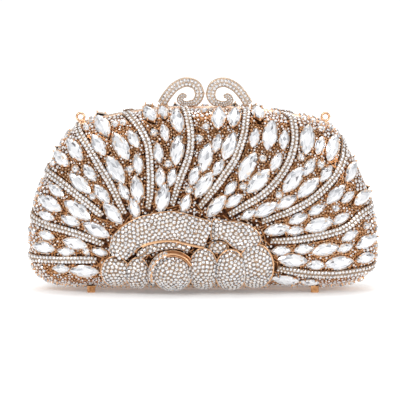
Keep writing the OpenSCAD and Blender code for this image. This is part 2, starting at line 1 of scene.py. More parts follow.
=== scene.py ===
# Hard-case evening clutch: two cast rose-gold shells hinged along the bottom, set with marquise crystals and
# paved bands that fan out from a rose, and closed by a pair of paved scrolls.
# It is drawn in millimetres as a front half whose parting plane is y = 0, and placed by put_down().
import json
import math
import bpy
import numpy as np
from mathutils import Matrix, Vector, geometry, kdtree


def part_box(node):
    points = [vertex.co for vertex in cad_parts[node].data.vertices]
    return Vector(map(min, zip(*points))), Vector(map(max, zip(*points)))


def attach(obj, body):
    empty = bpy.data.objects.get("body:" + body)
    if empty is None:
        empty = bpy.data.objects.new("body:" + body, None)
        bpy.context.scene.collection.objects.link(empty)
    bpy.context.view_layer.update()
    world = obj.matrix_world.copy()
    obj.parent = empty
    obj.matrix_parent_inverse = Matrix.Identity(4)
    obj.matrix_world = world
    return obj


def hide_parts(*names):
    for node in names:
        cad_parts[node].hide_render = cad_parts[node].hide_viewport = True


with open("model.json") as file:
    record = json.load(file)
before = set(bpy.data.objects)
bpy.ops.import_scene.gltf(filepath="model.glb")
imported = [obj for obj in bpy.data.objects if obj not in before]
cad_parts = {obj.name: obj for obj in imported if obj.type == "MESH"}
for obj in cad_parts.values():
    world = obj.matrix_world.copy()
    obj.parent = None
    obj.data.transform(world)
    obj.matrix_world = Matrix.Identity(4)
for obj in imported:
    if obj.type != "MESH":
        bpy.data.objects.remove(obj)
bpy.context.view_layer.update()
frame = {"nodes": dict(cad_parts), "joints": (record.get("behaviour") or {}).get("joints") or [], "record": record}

# The bag is seen from a little above, by a long lens that keeps its sides straight. The picture's width is
# what the lens takes in at the bag, in metres.
MM = 0.001
view_rise = math.radians(8)
view_distance = 1.6
picture_width = 0.228
aim = Vector((-0.0017, 0, 0.0514))
camera = bpy.data.objects.new("camera", bpy.data.cameras.new("camera"))
bpy.context.scene.collection.objects.link(camera)
camera.location = aim + view_distance * Vector((0, -math.cos(view_rise), math.sin(view_rise)))
camera.rotation_euler = (aim - camera.location).to_track_quat("-Z", "Y").to_euler()
camera.data.lens = camera.data.sensor_width * view_distance / picture_width
camera.data.clip_end = 10
bpy.context.scene.camera = camera
bpy.context.scene.view_settings.view_transform = "Standard"

# The table is a matt white sheet that keeps the bag's shadow. It glows to the camera, more so away from the bag,
# so the weaker glow near it paints that shadow darker, and it shows pale in polished metal.


class Number:
    """A socket that can be reckoned with: each operator adds its Math node."""

    def __init__(self, tree, socket):
        self.tree = tree
        self.socket = socket

    def _math(self, operation, first, second):
        return self.tree.node("ShaderNodeMath", {"operation": operation}, {0: first, 1: second})

    def __add__(self, other):
        return self._math("ADD", self, other)

    def __mul__(self, other):
        return self._math("MULTIPLY", self, other)

    __radd__ = __add__
    __rmul__ = __mul__


class Tree:
    """The shader nodes of a material or of the world."""

    def __init__(self, owner):
        owner.use_nodes = True
        self.nodes = owner.node_tree.nodes
        self.links = owner.node_tree.links

    def feed(self, node, sockets):
        for name, value in sockets.items():
            if isinstance(value, Number):
                self.links.new(value.socket, node.inputs[name])
            else:
                node.inputs[name].default_value = value

    def node(self, kind, settings, sockets, output=0):
        made = self.nodes.new(kind)
        for name, value in settings.items():
            if name == "stops":
                for stop, (place, colour) in zip(made.color_ramp.elements, value):
                    stop.position = place
                    stop.color = (*colour, 1)
            else:
                setattr(made, name, value)
        self.feed(made, sockets)
        return Number(self, made.outputs[output])


class Finish(Tree):
    """One material, with its Principled shader. Sizes of patterns and depths of bumps are in millimetres."""

    def __init__(self, name, colour, metallic, roughness, **more):
        self.material = bpy.data.materials.new(name)
        super().__init__(self.material)
        self.shader = self.nodes["Principled BSDF"]
        self.feed(self.shader, {"Base Color": (*colour, 1), "Metallic": metallic, "Roughness": roughness,
                                **more})

    def noise(self, size, detail, roughness=0.5):
        place = self.node("ShaderNodeTexCoord", {}, {}, "Object")
        return self.node("ShaderNodeTexNoise", {}, {"Vector": place, "Scale": 1 / (size * MM),
                                                    "Detail": detail, "Roughness": roughness})

    def ramp(self, mask, *stops):
        return self.node("ShaderNodeValToRGB", {"stops": stops}, {0: mask})

    def bump(self, height, depth):
        return self.node("ShaderNodeBump", {}, {"Height": height, "Distance": depth * MM, "Strength": 1.0},
                         "Normal")

    def wear(self, mask, low, high, height, depth, **more):
        """Colours that follow a mask between two stops, over dents of this depth."""
        self.feed(self.shader, {"Base Color": self.ramp(mask, low, high), "Normal": self.bump(height, depth),
                                **more})


table_white = Finish("table_white", (0.93, 0.93, 0.93), 0.0, 0.9)
camera_sees = table_white.node("ShaderNodeLightPath", {}, {}, "Is Camera Ray")
gloss_sees = table_white.node("ShaderNodeLightPath", {}, {}, "Is Glossy Ray")
from_bag = table_white.node("ShaderNodeVectorMath", {"operation": "LENGTH"},
                            {0: table_white.node("ShaderNodeTexCoord", {}, {}, "Object")}, "Value")
# Less glow near the bag: a painted shadow round it, laid over the shadow it keeps.
glow_with_painted_shadow = table_white.node("ShaderNodeMapRange", {"interpolation_type": "SMOOTHSTEP"}, {
    "Value": from_bag, "From Min": 0.06, "From Max": 0.14, "To Min": 0.16, "To Max": 0.45})
gloss_glow = 0.38
table_white.feed(table_white.shader, {"Emission Color": (1, 1, 1, 1),
                                      "Emission Strength": camera_sees * glow_with_painted_shadow + gloss_sees * gloss_glow})
table_half = 3.0
table_corners = [(x * table_half, y * table_half, 0) for x, y in ((-1, -1), (1, -1), (1, 1), (-1, 1))]
table_mesh = bpy.data.meshes.new("table")
table_mesh.from_pydata(table_corners, [], [(0, 1, 2, 3)])
table_mesh.materials.append(table_white.material)
table = bpy.data.objects.new("table", table_mesh)
bpy.context.scene.collection.objects.link(table)

# The studio is a white room, full white where the camera looks straight at it and dimmer as a light. Two
# soft boxes stand in front of the bag, and two larger ones hang above and behind it.
room_light = 0.62
world = bpy.data.worlds.new("studio")
bpy.context.scene.world = world
studio = Tree(world)
looked_at = studio.node("ShaderNodeMath", {"operation": "MAXIMUM"}, {
    0: studio.node("ShaderNodeLightPath", {}, {}, "Is Camera Ray"),
    1: studio.node("ShaderNodeLightPath", {}, {}, "Is Transmission Ray")})
studio.feed(studio.nodes["Background"], {"Color": (1, 1, 1, 1),
                                         "Strength": looked_at * (1 - room_light) + room_light})
lamps_aim = Vector((0, 0, 0.05))


def lamp(name, watts, size, place):
    data = bpy.data.lights.new(name, "AREA")
    data.energy = watts
    data.size = size
    made = bpy.data.objects.new(name, data)
    bpy.context.scene.collection.objects.link(made)
    made.location = place
    made.rotation_euler = (lamps_aim - Vector(place)).to_track_quat("-Z", "Y").to_euler()


lamp("soft_box_left", 3.2, 0.35, (-0.55, -0.65, 0.75))
lamp("soft_box_right", 2.0, 0.30, (0.70, -0.60, 0.45))
lamp("top_light", 2.6, 0.60, (0, 0.05, 0.95))
lamp("back_light", 2.2, 0.50, (0.2, 0.9, 0.7))

# The case: two pillow-shaped shells of cast, rose-gold plated alloy, soldered to their rims. The face is
# drawn flat, in millimetres, and the drawing wraps down the side wall near its edge.
parting = frame["joints"][0]["pos_m"][1] / MM
hinge_z = frame["joints"][0]["pos_m"][2] / MM
shell_low, shell_high = (np.array(corner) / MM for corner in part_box("front_shell"))
case_depth = parting - shell_low[1]
frame_depth = parting - shell_high[1]
case_power = 2.8
shell_wall = 1.1
wrap_from = 0.97
least_height = 0.005
face_middle = np.array([0.0, 40.0])
outline_knots = [(0, 103.8), (25, 103.3), (46, 100.4), (61, 97.2), (71.5, 93.2), (79, 85), (86, 73),
                 (92, 59.5), (96, 46), (97.9, 32), (97.4, 18), (93, 9.5), (81.5, 5), (62, 3.8), (32, 3.6),
                 (0, 3.6)]
both_sides = np.array(outline_knots + [(-x, z) for x, z in outline_knots[-2:0:-1]], float)


def unit(v):
    return v / np.maximum(np.linalg.norm(v, axis=-1, keepdims=True), 1e-12)


def curve(a, b, c, d, t):
    """Points at shares t of the smooth way from b to c, which comes from a and goes on to d."""
    return 0.5 * (2 * b + (c - a) * t + (2 * a - 5 * b + 4 * c - d) * t * t
                  + (3 * b - a - 3 * c + d) * t ** 3)


def closed_curve(knots, steps):
    """Points of the smooth loop through the knots."""
    t = (np.arange(steps) / steps)[None, :, None]
    a, b, c, d = (np.roll(knots, shift, 0)[:, None, :] for shift in (1, 0, -1, -2))
    return curve(a, b, c, d, t).reshape(-1, 2)


def moved_out(loop, d):
    """The clockwise loop moved outwards by d."""
    way = unit(np.roll(loop, -1, 0) - np.roll(loop, 1, 0))
    return loop + d * np.stack([-way[:, 1], way[:, 0]], 1)


def along(knots, s):
    """Points of the drawing on the smooth way through the knots, at shares s of it."""
    k = np.array(knots, float)
    k = np.vstack([2 * k[0] - k[1], k, 2 * k[-1] - k[-2]])
    u = np.clip(s, 0, 0.99999) * (len(knots) - 1)
    i = u.astype(int)
    return curve(k[i], k[i + 1], k[i + 2], k[i + 3], (u - i)[..., None])


def left_along(knots, s):
    """The direction to the left of the way, at shares s of it."""
    v = unit(along(knots, s + 0.01) - along(knots, s - 0.01))
    return np.stack([-v[..., 1], v[..., 0]], -1)


outline = closed_curve(both_sides, 12)
spokes = closed_curve(both_sides, 24) - face_middle
spokes = spokes[spokes[:, 0] >= 0]
spokes = spokes[np.argsort(np.arctan2(spokes[:, 1], spokes[:, 0]))]


def outline_radius(d):
    """Distance from the face's middle to the outline, in the directions d."""
    return np.interp(np.arctan2(d[..., 1], np.abs(d[..., 0])), np.arctan2(spokes[:, 1], spokes[:, 0]),
                     np.linalg.norm(spokes, axis=1))


def rise(f, power=case_power):
    """Share of a dome's height at share f of the way from its middle to its rim."""
    return np.maximum(0, 1 - np.maximum(f, 0) ** power) ** (1 / power)


def wall_height(d):
    """Share of the face's depth at distance d from its middle: under 1 near the edge, and 0 at the frame."""
    r = outline_radius(d)
    f = np.linalg.norm(d, axis=-1) / r
    fall = rise(wrap_from) - (f - wrap_from) * r / (case_depth - frame_depth)
    return np.where(f <= wrap_from, rise(f), fall)


def on_shell(p):
    """Points on the outside of the shell, for points p of the flat drawing."""
    d = p - face_middle
    r = outline_radius(d)
    f = np.linalg.norm(d, axis=-1) / r
    g = np.maximum(least_height, wall_height(d))
    share = np.where(f <= wrap_from, f, rise(g)) * r
    q = face_middle + unit(d) * share[..., None]
    return np.stack([q[..., 0], -frame_depth - (case_depth - frame_depth) * g, q[..., 1]], -1)


nudge = 0.4


def shell_normal(p):
    x, z = np.array([nudge, 0]), np.array([0, nudge])
    return unit(np.cross(on_shell(p + x) - on_shell(p - x), on_shell(p + z) - on_shell(p - z)))


def over_shell(p, height):
    return on_shell(p) + np.asarray(height)[..., None] * shell_normal(p)


def seated(p, way, height):
    """Foot points, and axes as rows, for pieces that sit at this height over p and point along the way."""
    out = shell_normal(p)
    step = nudge * unit(way)
    side = unit(np.cross(out, on_shell(p + step) - on_shell(p - step)))
    return over_shell(p, height), np.stack([np.cross(side, out), side, out], 1)


chance = np.random.default_rng(11)


class Heap:
    """Points and faces gathered for one mesh, in millimetres. A skin is the number of a face's finish."""

    def __init__(self):
        self.points, self.corners, self.sizes, self.skins, self.soft = [], [], [], [], []
        self.count = 0

    def add(self, points, corners, sizes, skins, soft=False):
        """Adds faces, given as a row of all their corners and how many corners each has."""
        points = np.asarray(points, float).reshape(-1, 3)
        self.points.append(points)
        self.corners.append(np.asarray(corners, np.int64) + self.count)
        self.sizes.append(np.asarray(sizes, np.int64))
        self.skins.append(np.broadcast_to(np.asarray(skins), (len(sizes),)))
        self.soft.append(np.full(len(sizes), soft))
        self.count += len(points)

    def grid(self, points, skin=0, caps=True):
        """A soft sheet of rows of points, each closed to a ring. Caps fill the first and last rings."""
        rows, columns = points.shape[:2]
        i, j = np.meshgrid(np.arange(rows - 1), np.arange(columns), indexing="ij")
        k = (j + 1) % columns
        quads = np.stack([i * columns + j, i * columns + k, (i + 1) * columns + k, (i + 1) * columns + j], -1)
        self.add(points, quads.reshape(-1), np.full(quads.size // 4, 4), skin, soft=True)
        if caps:
            ring = np.arange(columns)
            for row, step in ((points[0], -1), (points[-1], 1)):
                wedges = np.stack([ring, np.roll(ring, -1), np.full(columns, columns)], -1)[:, ::step]
                self.add([*row, row.mean(0)], wedges.reshape(-1), np.full(columns, 3), skin, soft=True)

    def copies(self, pattern, origins, axes, sizes, skin=None, soft=False):
        """Copies of a pattern of points, faces and kinds of face, with axes as rows and sizes along them."""
        points, faces, kinds = pattern
        n = len(origins)
        placed = np.einsum("nvi,nij->nvj", points * np.broadcast_to(sizes, (n, 3))[:, None], axes)
        corners = np.concatenate([np.array(f) for f in faces]) + (np.arange(n) * len(points))[:, None]
        skins = np.zeros((n, len(kinds)), int) if skin is None else np.full((n, len(kinds)), skin)
        for kind, shares in facet_odds.items() if skin is None else ():
            at = np.flatnonzero(kinds == kind)
            skins[:, at] = chance.choice(len(shares), (n, len(at)), p=shares)
        self.add(placed + origins[:, None], corners.reshape(-1), np.tile([len(f) for f in faces], n),
                 skins.reshape(-1), soft)


def put_down(name, heap, finishes, half, replaced=(), flip_about=None):
    """Builds the heap as a piece of one half, mirrored for the back, and left to right where asked."""
    points = np.concatenate(heap.points)
    corners, sizes = np.concatenate(heap.corners), np.concatenate(heap.sizes)
    skins, soft = np.concatenate(heap.skins), np.concatenate(heap.soft)
    if half == "back":
        points = points * [1, -1, 1]
    if flip_about is not None:
        points = points * [-1, 1, 1] + [2 * flip_about, 0, 0]
    if (half == "back") != (flip_about is not None):
        corners, sizes, skins, soft = corners[::-1], sizes[::-1], skins[::-1], soft[::-1]
    mesh = bpy.data.meshes.new(name)
    mesh.vertices.add(len(points))
    mesh.vertices.foreach_set("co", ((points + [0, parting, 0]) * MM).reshape(-1))
    mesh.loops.add(len(corners))
    mesh.loops.foreach_set("vertex_index", np.ascontiguousarray(corners))
    mesh.polygons.add(len(sizes))
    mesh.polygons.foreach_set("loop_start", np.concatenate([[0], np.cumsum(sizes)[:-1]]))
    mesh.polygons.foreach_set("material_index", np.ascontiguousarray(skins).astype(np.int32))
    mesh.polygons.foreach_set("use_smooth", np.ascontiguousarray(soft))
    mesh.update(calc_edges=True)
    mesh.validate()
    for finish in finishes:
        mesh.materials.append(finish.material)
    piece = bpy.data.objects.new(name, mesh)
    bpy.context.scene.collection.objects.link(piece)
    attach(piece, half + "_half")
    if replaced:
        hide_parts(*replaced)


# The shells' colour is painted shade: near black to dark brown in patches, for the shade in the pierced openwork
# between the stones, which is not cut.
cast_gold_painted_shade = Finish("rose_gold_cast", (0.42, 0.17, 0.07), 0.85, 0.42)
patches = cast_gold_painted_shade.noise(2.2, 4.0, 0.6)
cast_gold_painted_shade.wear(patches, (0.42, (0.018, 0.005, 0.002)), (0.74, (0.26, 0.09, 0.028)),
               cast_gold_painted_shade.noise(0.9, 2.0), 0.25, Roughness=patches * 0.3 + 0.28)


def bowl_rows(outset, wall, depth, steps):
    """Rows of a bowl's skin, from the outside middle over the rim to the inside middle."""
    rows = []
    for inside in (False, True):
        loop = moved_out(outline, outset - wall if inside else outset)
        reach = depth - frame_depth - (wall if inside else 0)
        for turn in np.linspace(0, 0.999, steps)[::1 if inside else -1] * math.pi / 2:
            q = face_middle + (loop - face_middle) * math.cos(turn) ** (2 / case_power)
            y = -frame_depth - reach * math.sin(turn) ** (2 / case_power)
            rows.append(np.insert(q, 1, y, 1))
    return np.array(rows)


for half in ("front", "back"):
    heap = Heap()
    heap.grid(bowl_rows(0, shell_wall, case_depth, 22))
    put_down(half + "_shell_cast", heap, [cast_gold_painted_shade], half, [half + "_shell"])

# The rims: a brass frame round the mouth of each shell, plated and polished, with eased edges. Each is
# notched along the bottom, where the hinge's knuckles are soldered in.
polished_gold = Finish("rose_gold_polished", (0.86, 0.56, 0.36), 1.0, 0.22)
smears = polished_gold.noise(6.0, 4.0, 0.55)
polished_gold.wear(smears, (0.3, (0.80, 0.47, 0.28)), (0.7, (0.93, 0.66, 0.45)),
                   polished_gold.noise(0.5, 2.0), 0.01, Roughness=smears * 0.16 + 0.12)
frame_lip = 0.8
frame_reach = 3.4
parting_gap = 0.4
notch_r = 1.8
notch_room = 0.3
notch_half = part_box("hinge_pin")[1][0] / MM + notch_room
edge = 0.45
eased = 0.3 * edge
near, far = parting_gap / 2, frame_depth
rim_section = [(frame_lip - edge, near), (frame_lip - eased, near + eased), (frame_lip, near + edge),
               (frame_lip, far - edge), (frame_lip - eased, far - eased), (frame_lip - edge, far),
               (-frame_reach + edge, far), (-frame_reach, far - edge), (-frame_reach, near + edge),
               (-frame_reach + edge, near)]
for half in ("front", "back"):
    heap = Heap()
    lines = np.array([np.insert(moved_out(outline, out), 1, -depth, 1) for out, depth in rim_section])
    x, y, z = lines[..., 0], lines[..., 1], lines[..., 2]
    notched = (np.abs(x) < notch_half) & (np.hypot(y, z - hinge_z) < notch_r)
    lines[..., 2] = np.where(notched, hinge_z + np.sqrt(np.maximum(notch_r ** 2 - y ** 2, 0)), z)
    heap.grid(np.concatenate([lines, lines[:1]])[::-1], caps=False)
    put_down(half + "_rim_frame", heap, [polished_gold], half, [half + "_frame"])

# The hinge: brass knuckles on a pin with peened heads, plated like the rims. It keeps the CAD's shapes, as do
# the screws of the scrolls and the noses of the kiss lock.
for name in ("front_hinge_knuckles", "back_hinge_knuckles", "hinge_pin", "scroll_left_screws",
             "scroll_right_screws", "snap_nose_left", "snap_nose_right"):
    for kept in frame["nodes"][name].material_slots:
        kept.material = polished_gold.material

# The crystals: foiled glass, cut as pointed ovals and rounds, each glued in a gold setting and held by claws.
# A facet's colour is a painted reflection of its own part of the room, one of five finishes by chance, mostly
# bright.
coat = {"Coat Weight": 0.6, "Coat Roughness": 0.03}
champagne = Finish("rose_gold_champagne", (0.64, 0.48, 0.35), 1.0, 0.34)
claw_gold = Finish("rose_gold_claw", (0.76, 0.46, 0.26), 1.0, 0.28)
lattice_gold = Finish("rose_gold_lattice", (0.43, 0.20, 0.085), 1.0, 0.32)
pave_bed = Finish("rose_gold_pave_bed", (0.31, 0.22, 0.155), 0.9, 0.42)
jewel_finishes = [Finish("crystal_flash", (0.90, 0.90, 0.915), 0.15, 0.06, **coat),
                  Finish("crystal_clear", (0.82, 0.83, 0.86), 0.35, 0.08, **coat),
                  Finish("crystal_silver", (0.60, 0.61, 0.64), 0.55, 0.10, **coat),
                  Finish("crystal_deep", (0.26, 0.24, 0.25), 0.6, 0.12, **coat),
                  Finish("crystal_warm", (0.80, 0.66, 0.54), 0.4, 0.10, **coat),
                  claw_gold, lattice_gold, pave_bed, champagne]
claw_skin, lattice_skin, bed_skin, pale_skin = range(5, 9)
bezel_kind, wall_kind, girdle_kind, crown_kind, table_kind = range(5)
painted_shade_girdle_kind, painted_shade_crown_kind, painted_shade_table_kind = range(5, 8)
small_crown_kind, small_table_kind, culet_kind = range(8, 11)
# The three kinds after the table's are painted shade, with greyer odds: a marquise's upper half and some slopes of
# the round crystals.
facet_odds = {bezel_kind: (0, 0, 0.25, 0, 0.15, 0.2, 0.15, 0, 0.25), wall_kind: (0, 0.25, 0.4, 0.25, 0.1),
              girdle_kind: (0.36, 0.32, 0.20, 0.06, 0.06), crown_kind: (0.56, 0.30, 0.10, 0.02, 0.02),
              table_kind: (0.76, 0.21, 0.03, 0, 0), painted_shade_girdle_kind: (0.14, 0.28, 0.34, 0.16, 0.08),
              painted_shade_crown_kind: (0.14, 0.40, 0.33, 0.09, 0.04), painted_shade_table_kind: (0.22, 0.46, 0.27, 0.05, 0),
              small_crown_kind: (0.16, 0.22, 0.18, 0.11, 0.33),
              small_table_kind: (0.66, 0.14, 0.06, 0.02, 0.12), culet_kind: (0.46, 0.20, 0.14, 0.14, 0.06)}


def pointed_ring(count, long, wide, height, turn=0.0):
    """A pointed oval of half axes long and wide."""
    a = 2 * np.pi * (np.arange(count) + turn) / count
    x = np.cos(a)
    y = np.sign(np.round(np.sin(a), 9)) * (1 - np.abs(x) ** 2.2)
    return np.column_stack([x * long, y * wide, np.full(count, height)])


def marquise_cut():
    """One marquise, 2 x 2 x 1, in the gold wall of its setting. Its half towards -x, upper as set, gets painted
    shade.
    """
    n = 16
    points = np.vstack([pointed_ring(n, 1.05, 1.09, -0.1), pointed_ring(n, 1.04, 1.08, 0.36),
                        pointed_ring(n, 0.98, 0.97, 0.36), pointed_ring(n, 0.98, 0.97, 0.3),
                        pointed_ring(n, 1, 1, 0.42), pointed_ring(n, 0.80, 0.74, 0.80, 0.5),
                        pointed_ring(n // 2, 0.58, 0.46, 1.0), [[0.2, 0.03, 1.03], [-0.22, -0.03, 1.03]]])
    foot, lip, _, seat, girdle, crown, table = range(0, 7 * n, n)
    right, left = len(points) - 2, len(points) - 1
    faces, kinds = [], []
    for low, kind in ((foot, bezel_kind), (lip, bezel_kind), (seat, wall_kind)):
        faces += [(low + i, low + (i + 1) % n, low + n + (i + 1) % n, low + n + i) for i in range(n)]
        kinds += [kind] * n
    for i in range(n):
        k = (i + 1) % n
        faces += [(girdle + i, girdle + k, crown + i), (girdle + k, crown + k, crown + i)]
        kinds += [girdle_kind] * 2
    for j in range(n // 2):
        k = (j + 1) % (n // 2)
        a, b, c = crown + (2 * j - 1) % n, crown + 2 * j, crown + 2 * j + 1
        faces += [(table + j, a, b), (table + j, b, c), (table + j, c, table + k)]
        kinds += [crown_kind] * 3
    faces += [(table + j, table + (j + 1) % 8, left if 2 <= j < 6 else right) for j in range(8)]
    faces += [(table + 2, left, right), (table + 6, right, left)]
    kinds = np.array(kinds + [table_kind] * 10)
    painted_shade_half = np.array([points[list(f), 0].mean() < -0.04 for f in faces]) & (kinds >= girdle_kind)
    return points, faces, np.where(painted_shade_half, kinds + painted_shade_girdle_kind - girdle_kind, kinds)


def turned(rings, sides):
    """Stacked rings of radius, height and the kind of the step up to them, closed by a flat top."""
    a = 2 * np.pi * np.arange(sides) / sides
    points = np.vstack([np.column_stack([r * np.cos(a), r * np.sin(a), np.full(sides, h)])
                        for r, h, _ in rings])
    faces, kinds = [], []
    for low, (_, _, kind) in enumerate(rings[1:]):
        at = low * sides
        faces += [(at + i, at + (i + 1) % sides, at + sides + (i + 1) % sides, at + sides + i)
                  for i in range(sides)]
        kinds += [kind] * sides
    faces.append(tuple(range(len(points) - sides, len(points))))
    return points, faces, np.array(kinds + [culet_kind])


marquise = marquise_cut()
small_stone = turned([(0.94, 0, 0), (0.98, 0.55, wall_kind), (0.62, 0.92, small_crown_kind),
                      (0.24, 1, small_table_kind)], 8)
round_stone = turned([(1.14, -0.1, 0), (1.12, 0.34, bezel_kind), (0.98, 0.34, bezel_kind),
                      (0.98, 0.42, wall_kind), (0.8, 0.76, painted_shade_girdle_kind), (0.52, 0.96, small_crown_kind),
                      (0.2, 1.02, painted_shade_crown_kind)], 12)
bead = turned([(1, 0, 0), (0.86, 0.55, wall_kind), (0.45, 0.92, wall_kind)], 6)


def places_between(low, high, step):
    """Places of the drawing at equal steps both ways."""
    across, up = np.meshgrid(np.arange(low[0], high[0], step), np.arange(low[1], high[1], step))
    return np.column_stack([across.ravel(), up.ravel()])


# Searched for the place under a crystal
drawing = places_between((-108, -6), (108.5, 115), 0.5)
drawing_on_shell = on_shell(drawing)


def seats_of(node):
    """Feet, axes as rows, lengths and widths of the crystals of a front node, as the CAD has them."""
    mesh = frame["nodes"][node].data
    points = np.array([v.co for v in mesh.vertices]) / MM - [0, parting, 0]
    spots, welded = np.unique(np.round(points, 2), axis=0, return_inverse=True)
    group = np.arange(len(spots))
    faces = [welded.ravel()[list(p.vertices)] for p in mesh.polygons]
    before = None
    while before is None or (before != group).any():
        before = group.copy()
        for f in faces:
            group[f] = group[f].min()
    seats = []
    for g in np.unique(group):
        solid = spots[group == g]
        middle = solid.mean(0)
        out = shell_normal(drawing[np.argmin(((drawing_on_shell - middle) ** 2).sum(1))])
        flat = (solid - middle) - np.outer((solid - middle) @ out, out)
        long = unit(flat[np.argmax((flat ** 2).sum(1))])
        long = -long if long[2] > 0 else long
        side = np.cross(out, long)
        seats.append((middle + out * ((solid - middle) @ out).min(), np.array([long, side, out]),
                      np.ptp(flat @ long), np.ptp(flat @ side)))
    return [np.array(column) for column in zip(*seats)]


stone_rise = 2.6
marquise_cover, round_cover = (1.09, 1.06), (1.12, 1.12)
claw_r = 0.5
claw_rise = 0.86
marquise_claws = [(1.0, 0), (-1.0, 0), (0.55, 0.80), (0.55, -0.80), (-0.55, 0.80), (-0.55, -0.80)]
round_claws = [(math.cos(a) * 1.05, math.sin(a) * 1.05) for a in (0.7, 2.3, 3.9, 5.5)]


def set_crystals(heap, pattern, origins, axes, lengths, widths, claws):
    """Crystals over their seats, each held by claws at the given shares of its size."""
    longer, wider = round_cover if pattern is round_stone else marquise_cover
    sizes = np.column_stack([longer * lengths / 2, wider * widths / 2,
                             stone_rise * np.minimum(1, 0.55 + widths / 14)])
    heap.copies(pattern, origins, axes, sizes)
    for x, y in claws:
        places = origins + np.einsum("ni,nij->nj", sizes * [x, y, 0], axes)
        heap.copies(bead, places, axes, sizes * [0, 0, claw_rise] + [claw_r, claw_r, 0], claw_skin, soft=True)


face_seats = {name: seats_of("front_" + name) for name in
              ("marquise_large", "marquise_medium", "marquise_small", "round_crystals")}
for half in ("front", "back"):
    for name in ("marquise_large", "marquise_medium", "marquise_small"):
        heap = Heap()
        set_crystals(heap, marquise, *face_seats[name], marquise_claws)
        put_down(f"{half}_{name}_set", heap, jewel_finishes, half, [f"{half}_{name}"])

# The raised bands: rounded gold strips on the shell, set with two staggered rows of small stones, and with a
# row of gold grains along each edge.
rib_ways = [
    [(-73, 96.2), (-64.4, 83.8), (-58, 73.5), (-52, 63.8), (-44, 47)],
    [(-93, 71.8), (-79.8, 63.8), (-70.7, 57), (-60.4, 49), (-56.5, 45.8)],
    [(-101.2, 44.6), (-89.5, 39.9), (-77.5, 37), (-66, 33.6), (-56, 29.5)],
    [(-102.6, 19.8), (-83.8, 20), (-67.8, 20.5), (-60, 20.5)],
    [(-46.8, 105.2), (-40.5, 99.5), (-34.8, 93.5), (-30.8, 84.9), (-29.6, 71.3), (-29.6, 59.3), (-31, 50)],
    [(-12.2, 109.6), (-8.6, 100), (-6.8, 90), (-8, 79.2), (-12.5, 67.3), (-17.5, 52)],
    [(25.6, 109), (24.4, 100), (22.6, 90), (18.2, 78), (12.5, 69.5), (6.8, 61.6), (-2, 51)],
    [(48.6, 105), (50.8, 96), (51.3, 86.5), (47.9, 75.8), (41.6, 66), (33.6, 58), (23.9, 51.9), (14.5, 46.5)],
    [(82.4, 88.4), (79.8, 82.6), (78.8, 77), (75.2, 69), (68.4, 61), (59.3, 53.6), (47.9, 47.9), (33, 42.6)],
    [(99.8, 50.2), (90, 46), (82, 39.3), (73.5, 35.9), (62, 33.6), (49.6, 31.9), (38, 31.6)],
    [(101.6, 14.8), (93, 13.6), (84, 12.6), (74, 12), (62, 12.5), (50.2, 14.3), (42, 16)]]
rib_width = 4.2
rib_height = 1.8
rib_taper = ([0, 0.8, 1], [1, 1, 0.7])
rib_section = [(1, 0), (1, 0.42), (0.88, 0.68), (0.6, 0.86), (0.3, 0.95), (0, 0.98)]
rib_section += [(-x, h) for x, h in rib_section[-2::-1]]
stone_pitch, row_stagger = 1.98, 0.25
stone_row, stone_seat = 1.1, 0.72 * rib_height
stone_drift, stone_height = 0.09, 0.9
grain_row, grain_seat = 2.0, 0.5 * rib_height
grain_size = (0.30, 0.30, 0.6)


def run_along(points):
    """Distance from the start of a way to each of its points."""
    return np.insert(np.cumsum(np.linalg.norm(np.diff(points, axis=0), axis=1)), 0, 0)


def paced(knots, pitch, start):
    """Shares of the way at equal steps over the shell, moved by a share of a step."""
    s = np.linspace(0, 1, 400)
    run = run_along(on_shell(along(knots, s)))
    count = int(run[-1] / pitch)
    return np.interp((np.arange(count) + 0.5 + start) * run[-1] / count, run, s)


def row_seats(knots, shares, offset, height):
    """Seats of a row that runs beside the way."""
    left = left_along(knots, shares)
    way = np.stack([left[:, 1], -left[:, 0]], 1)
    return seated(along(knots, shares) + left * np.asarray(offset)[..., None], way, height)


for half in ("front", "back"):
    heap = Heap()
    for knots in rib_ways:
        s = np.linspace(0, 1, 12 * len(knots))
        c, left, wide = along(knots, s), left_along(knots, s), np.interp(s, *rib_taper) * rib_width / 2
        lines = [over_shell(c + left * (wide * x)[:, None], rib_height * h) for x, h in rib_section]
        heap.grid(np.stack(lines, 1), bed_skin)
        for side in (-1, 1):
            s = paced(knots, stone_pitch, row_stagger * side)
            taper = np.interp(s, *rib_taper)
            drift = chance.uniform(-stone_drift, stone_drift, len(s))
            size = chance.uniform(0.94, 1.08, len(s)) * taper
            heap.copies(small_stone, *row_seats(knots, s, (side * stone_row + drift) * taper, stone_seat),
                        np.column_stack([size, size, np.full(len(s), stone_height)]))
            s = paced(knots, stone_pitch, 0.5 + row_stagger * side)
            heap.copies(bead, *row_seats(knots, s, side * grain_row * np.interp(s, *rib_taper), grain_seat),
                        grain_size, claw_skin, soft=True)
    put_down(half + "_bands", heap, jewel_finishes, half, [half + "_ribs"])

# The rose: cushioned petals that lean on one another, cast and soldered on. Each has a gold rim and is paved
# all over with small stones of three sizes, with grains of gold between them.
petal_lift = 0.4
petal_power = 3.0
petal_upright, petal_forward = 0.12, 0.2
flute_depth = 0.12
fan_eye = 0.14
swathe_end, blunt_end = 0.06, 0.01
wire_r = 0.42
wire_out = 0.4
wire_share = 0.45
plenty = 9.0


def grown(p, height):
    """Points at a height over the shell, grown forwards more than off the shell."""
    way = unit(shell_normal(p) * [1, 1, petal_upright] - [0, petal_forward, 0])
    return over_shell(p, petal_lift) + np.asarray(height)[..., None] * way


